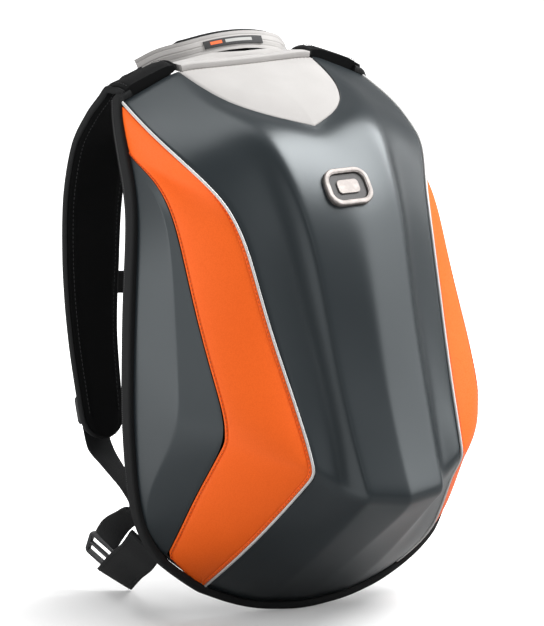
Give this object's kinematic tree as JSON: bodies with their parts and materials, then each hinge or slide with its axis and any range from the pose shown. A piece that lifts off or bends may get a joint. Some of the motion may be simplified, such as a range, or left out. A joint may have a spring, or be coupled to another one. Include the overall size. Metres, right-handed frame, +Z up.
{
  "type": "hard shell backpack",
  "caption": "Standing hard shell backpack with a ridged dark front, orange side stripes, pale top panel, grab handle and padded shoulder straps.",
  "frame": {"origin": "bottom centre of the part's box, on the ground it stands on", "axes": "+Z up, -Y the way the shell's front faces, X across the wearer's back"},
  "size_m": [0.3456, 0.3548, 0.5066],
  "materials": {
    "shell": "matt moulded shell, soft sheen",
    "stripe": "grained coated fabric, satin",
    "reflective": "reflective piping, satin",
    "pale": "woven fabric, matt",
    "black": "woven and padded fabric, matt",
    "webbing": "ribbed webbing, matt",
    "buckle": "moulded buckle plastic, satin",
    "metal": "cast metal badge, satin"
  },
  "bodies": {
    "root": {"shell_front": "shell", "side_panel_left": "shell", "side_panel_right": "shell", "side_stripe_left": "stripe", "side_stripe_right": "stripe", "piping_left": "reflective", "piping_right": "reflective", "top_panel": "pale", "top_trim": "pale", "handle": "pale", "binding": "black", "zip": "black", "back_panel": "black", "handle_backing": "black", "strap_pad_left": "black", "strap_pad_right": "black", "handle_label": "webbing", "strap_webbing_left": "webbing", "strap_webbing_right": "webbing", "strap_anchor_left": "webbing", "strap_anchor_right": "webbing", "sternum_strap_left": "webbing", "sternum_strap_right": "webbing", "pad_lock_left": "buckle", "pad_lock_right": "buckle", "anchor_lock_left": "buckle", "anchor_lock_right": "buckle", "sternum_clip": "buckle", "badge_rim": "metal", "badge_plate": "metal"}
  },
  "joints": []
}
